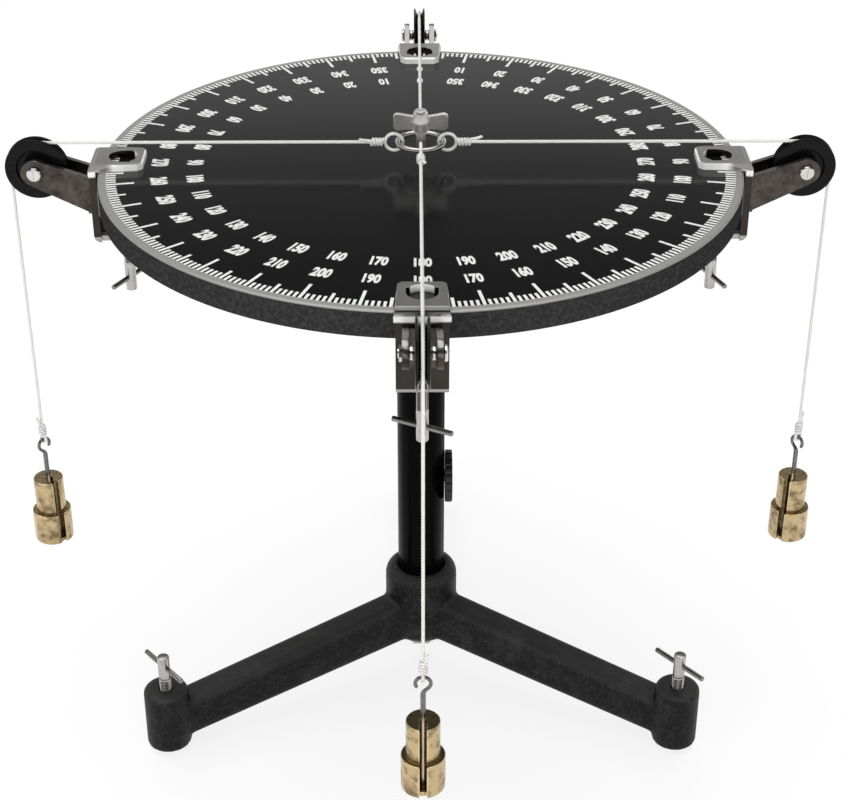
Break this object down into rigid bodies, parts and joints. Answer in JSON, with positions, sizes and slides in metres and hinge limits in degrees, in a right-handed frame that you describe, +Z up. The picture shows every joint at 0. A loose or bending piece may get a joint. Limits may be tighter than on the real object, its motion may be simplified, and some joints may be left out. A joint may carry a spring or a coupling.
{
  "type": "force table",
  "caption": "Round graduated force table on a tripod with levelling screws: rim clamps with pulleys, strings tied to a centre ring, and slotted brass weights on hangers.",
  "frame": {"origin": "on the floor under the pillar's axis, in the middle of the footprint of the four hangers", "axes": "+Z up along the pillar, +X to the right and -Y to the front, as in the picture"},
  "size_m": [0.538, 0.5378, 0.4205],
  "materials": {
    "base_enamel": "black enamel on cast iron",
    "pillar_enamel": "black enamel on steel tube",
    "table_enamel": "satin black enamel on cast aluminium, bare turned edge ring, white scale",
    "nickel": "nickel plated steel",
    "dark_nickel": "polished nickel plated sheet",
    "plain_steel": "turned steel",
    "brass": "turned brass",
    "knob_black": "moulded black",
    "pulley_black": "polished black moulding",
    "cord": "white twisted cord"
  },
  "bodies": {
    "stand": {"tripod_base": "base_enamel", "pillar": "pillar_enamel", "pillar_bolt": "plain_steel"},
    "table": {"table_disc": "table_enamel", "table_spindle": "plain_steel", "spindle_screws": "plain_steel", "force_ring": "nickel"},
    "centre_pin": {"centre_pin": "nickel"},
    "lock_pad": {"lock_pad": "brass"},
    "lock_knob": {"lock_knob": "knob_black"},
    "level_pad_right": {"level_pad_right": "plain_steel"},
    "level_screw_right": {"level_screw_right": "nickel"},
    "level_pad_back": {"level_pad_back": "plain_steel"},
    "level_screw_back": {"level_screw_back": "nickel"},
    "level_pad_left": {"level_pad_left": "plain_steel"},
    "level_screw_left": {"level_screw_left": "nickel"},
    "station_front": {"clamp_front": "nickel", "fork_front": "dark_nickel", "axle_front": "nickel", "string_front": "cord", "string_drop_front": "cord"},
    "clamp_pad_front": {"clamp_pad_front": "plain_steel"},
    "clamp_screw_front": {"clamp_screw_front": "nickel"},
    "pulley_front": {"pulley_front": "pulley_black"},
    "hanger_front": {"hanger_front": "brass", "lower_weight_front": "brass", "upper_weight_front": "brass"},
    "station_right": {"clamp_right": "nickel", "fork_right": "dark_nickel", "axle_right": "nickel", "string_right": "cord", "string_drop_right": "cord"},
    "clamp_pad_right": {"clamp_pad_right": "plain_steel"},
    "clamp_screw_right": {"clamp_screw_right": "nickel"},
    "pulley_right": {"pulley_right": "pulley_black"},
    "hanger_right": {"hanger_right": "brass", "lower_weight_right": "brass", "upper_weight_right": "brass"},
    "station_back": {"clamp_back": "nickel", "fork_back": "dark_nickel", "axle_back": "nickel", "string_back": "cord", "string_drop_back": "cord"},
    "clamp_pad_back": {"clamp_pad_back": "plain_steel"},
    "clamp_screw_back": {"clamp_screw_back": "nickel"},
    "pulley_back": {"pulley_back": "pulley_black"},
    "hanger_back": {"hanger_back": "brass", "lower_weight_back": "brass", "upper_weight_back": "brass"},
    "station_left": {"clamp_left": "nickel", "fork_left": "dark_nickel", "axle_left": "nickel", "string_left": "cord", "string_drop_left": "cord"},
    "clamp_pad_left": {"clamp_pad_left": "plain_steel"},
    "clamp_screw_left": {"clamp_screw_left": "nickel"},
    "pulley_left": {"pulley_left": "pulley_black"},
    "hanger_left": {"hanger_left": "brass", "lower_weight_left": "brass", "upper_weight_left": "brass"}
  },
  "joints": [
    {"name": "table_turn", "type": "hinge", "parent": "stand", "child": "table", "pos_m": [0, 0, 0.386], "axis": [0, 0, 1], "continuous": true},
    {"name": "centre_pin_turn", "type": "hinge", "parent": "table", "child": "centre_pin", "pos_m": [0, 0, 0.386], "axis": [0, 0, 1], "continuous": true},
    {"name": "lock_feed", "type": "slide", "parent": "stand", "child": "lock_pad", "axis": [1, 0, 0], "range_m": [0, 0.003]},
    {"name": "lock_turn", "type": "hinge", "parent": "lock_pad", "child": "lock_knob", "pos_m": [0.017, 0, 0.153], "axis": [1, 0, 0], "range_deg": [-15, 879]},
    {"name": "level_feed_right", "type": "slide", "parent": "stand", "child": "level_pad_right", "axis": [0, 0, 1], "range_m": [-0.012, 0.003]},
    {"name": "level_turn_right", "type": "hinge", "parent": "level_pad_right", "child": "level_screw_right", "pos_m": [0.17147, -0.099, 0.06], "axis": [0, 0, 1], "range_deg": [-3516, 924]},
    {"name": "level_feed_back", "type": "slide", "parent": "stand", "child": "level_pad_back", "axis": [0, 0, 1], "range_m": [-0.012, 0.003]},
    {"name": "level_turn_back", "type": "hinge", "parent": "level_pad_back", "child": "level_screw_back", "pos_m": [0, 0.198, 0.06], "axis": [0, 0, 1], "range_deg": [-3516, 924]},
    {"name": "level_feed_left", "type": "slide", "parent": "stand", "child": "level_pad_left", "axis": [0, 0, 1], "range_m": [-0.012, 0.003]},
    {"name": "level_turn_left", "type": "hinge", "parent": "level_pad_left", "child": "level_screw_left", "pos_m": [-0.17147, -0.099, 0.06], "axis": [0, 0, 1], "range_deg": [-3516, 924]},
    {"name": "clamp_slide_front", "type": "hinge", "parent": "table", "child": "station_front", "pos_m": [0, 0, 0.386], "axis": [0, 0, 1], "range_deg": [-35, 35]},
    {"name": "hanger_lift_front", "type": "slide", "parent": "station_front", "child": "hanger_front", "axis": [0, 0, 1], "range_m": [0, 0.06], "deforming": ["string_drop_front"]},
    {"name": "pulley_turn_front", "type": "hinge", "parent": "station_front", "child": "pulley_front", "pos_m": [0, -0.2395, 0.383], "axis": [1, 0, 0], "range_deg": [-214, 5]},
    {"name": "clamp_feed_front", "type": "slide", "parent": "station_front", "child": "clamp_pad_front", "axis": [0, 0, 1], "range_m": [-0.006, 0]},
    {"name": "clamp_turn_front", "type": "hinge", "parent": "clamp_pad_front", "child": "clamp_screw_front", "pos_m": [0, -0.187, 0.33], "axis": [0, 0, 1], "range_deg": [-1758, 30]},
    {"name": "clamp_slide_right", "type": "hinge", "parent": "table", "child": "station_right", "pos_m": [0, 0, 0.386], "axis": [0, 0, 1], "range_deg": [-35, 35]},
    {"name": "hanger_lift_right", "type": "slide", "parent": "station_right", "child": "hanger_right", "axis": [0, 0, 1], "range_m": [0, 0.06], "deforming": ["string_drop_right"]},
    {"name": "pulley_turn_right", "type": "hinge", "parent": "station_right", "child": "pulley_right", "pos_m": [0.2395, 0, 0.383], "axis": [0, 1, 0], "range_deg": [-214, 5]},
    {"name": "clamp_feed_right", "type": "slide", "parent": "station_right", "child": "clamp_pad_right", "axis": [0, 0, 1], "range_m": [-0.006, 0]},
    {"name": "clamp_turn_right", "type": "hinge", "parent": "clamp_pad_right", "child": "clamp_screw_right", "pos_m": [0.187, 0, 0.33], "axis": [0, 0, 1], "range_deg": [-1758, 30]},
    {"name": "clamp_slide_back", "type": "hinge", "parent": "table", "child": "station_back", "pos_m": [0, 0, 0.386], "axis": [0, 0, 1], "range_deg": [-35, 35]},
    {"name": "hanger_lift_back", "type": "slide", "parent": "station_back", "child": "hanger_back", "axis": [0, 0, 1], "range_m": [0, 0.06], "deforming": ["string_drop_back"]},
    {"name": "pulley_turn_back", "type": "hinge", "parent": "station_back", "child": "pulley_back", "pos_m": [0, 0.2395, 0.383], "axis": [-1, 0, 0], "range_deg": [-214, 5]},
    {"name": "clamp_feed_back", "type": "slide", "parent": "station_back", "child": "clamp_pad_back", "axis": [0, 0, 1], "range_m": [-0.006, 0]},
    {"name": "clamp_turn_back", "type": "hinge", "parent": "clamp_pad_back", "child": "clamp_screw_back", "pos_m": [0, 0.187, 0.33], "axis": [0, 0, 1], "range_deg": [-1758, 30]},
    {"name": "clamp_slide_left", "type": "hinge", "parent": "table", "child": "station_left", "pos_m": [0, 0, 0.386], "axis": [0, 0, 1], "range_deg": [-35, 35]},
    {"name": "hanger_lift_left", "type": "slide", "parent": "station_left", "child": "hanger_left", "axis": [0, 0, 1], "range_m": [0, 0.06], "deforming": ["string_drop_left"]},
    {"name": "pulley_turn_left", "type": "hinge", "parent": "station_left", "child": "pulley_left", "pos_m": [-0.2395, 0, 0.383], "axis": [0, -1, 0], "range_deg": [-214, 5]},
    {"name": "clamp_feed_left", "type": "slide", "parent": "station_left", "child": "clamp_pad_left", "axis": [0, 0, 1], "range_m": [-0.006, 0]},
    {"name": "clamp_turn_left", "type": "hinge", "parent": "clamp_pad_left", "child": "clamp_screw_left", "pos_m": [-0.187, 0, 0.33], "axis": [0, 0, 1], "range_deg": [-1758, 30]}
  ],
  "couplings": [
    {"joint": "lock_turn", "follows": "lock_feed", "rad_per_m": 5026.5},
    {"joint": "level_turn_right", "follows": "level_feed_right", "rad_per_m": 5026.5},
    {"joint": "level_turn_back", "follows": "level_feed_back", "rad_per_m": 5026.5},
    {"joint": "level_turn_left", "follows": "level_feed_left", "rad_per_m": 5026.5},
    {"joint": "pulley_turn_front", "follows": "hanger_lift_front", "rad_per_m": -60.606},
    {"joint": "clamp_turn_front", "follows": "clamp_feed_front", "rad_per_m": 5026.5},
    {"joint": "pulley_turn_right", "follows": "hanger_lift_right", "rad_per_m": -60.606},
    {"joint": "clamp_turn_right", "follows": "clamp_feed_right", "rad_per_m": 5026.5},
    {"joint": "pulley_turn_back", "follows": "hanger_lift_back", "rad_per_m": -60.606},
    {"joint": "clamp_turn_back", "follows": "clamp_feed_back", "rad_per_m": 5026.5},
    {"joint": "pulley_turn_left", "follows": "hanger_lift_left", "rad_per_m": -60.606},
    {"joint": "clamp_turn_left", "follows": "clamp_feed_left", "rad_per_m": 5026.5}
  ]
}
